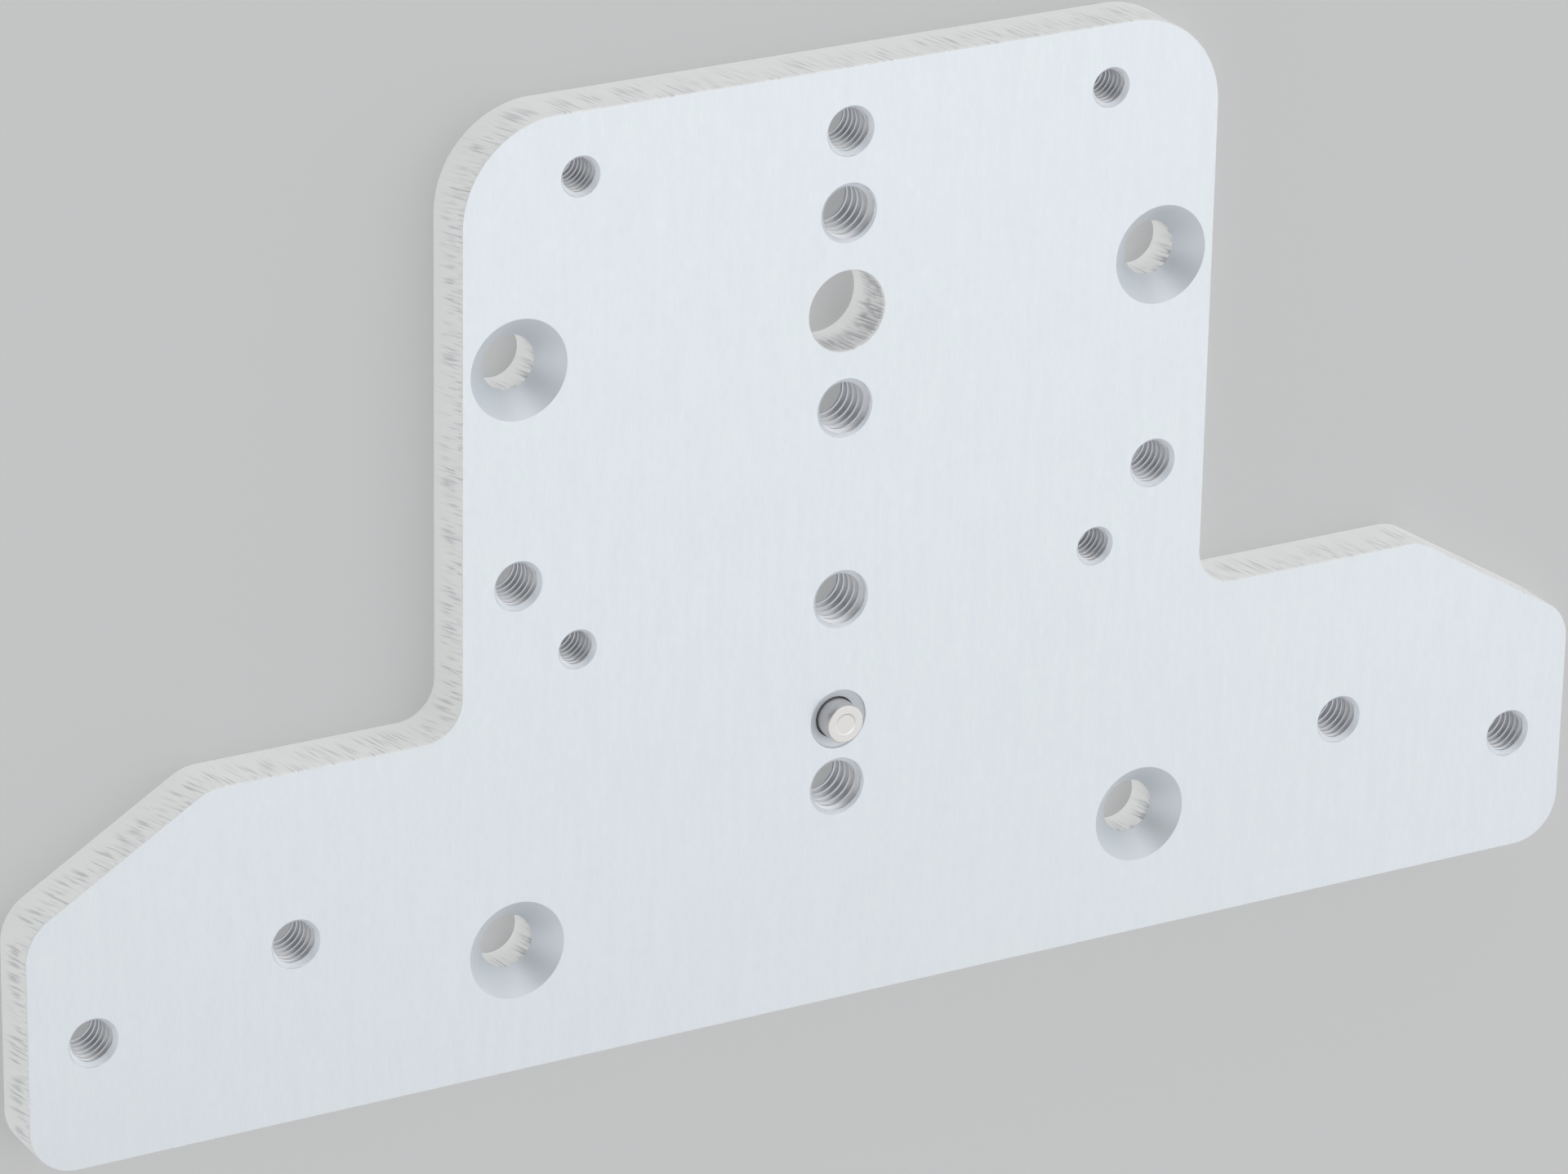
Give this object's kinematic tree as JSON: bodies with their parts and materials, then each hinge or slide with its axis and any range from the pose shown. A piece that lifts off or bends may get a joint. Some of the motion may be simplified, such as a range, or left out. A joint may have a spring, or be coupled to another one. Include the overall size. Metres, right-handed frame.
{
  "type": "adapter plate",
  "caption": "Flat T-shaped adapter plate with countersunk, tapped and plain holes and a pressed-in dowel pin for location.",
  "frame": {"origin": "on the back face, at the middle of the outline's box", "axes": "+X across the wings, +Y up the stem, +Z out of the front face, in the direction of the dowel pin"},
  "size_m": [0.1736, 0.098, 0.0075],
  "materials": {
    "plate": "fine satin faces with as-cut edge walls",
    "pin": "turned steel"
  },
  "bodies": {
    "root": {"adapter_plate": "plate", "dowel_pin": "pin"}
  },
  "joints": []
}
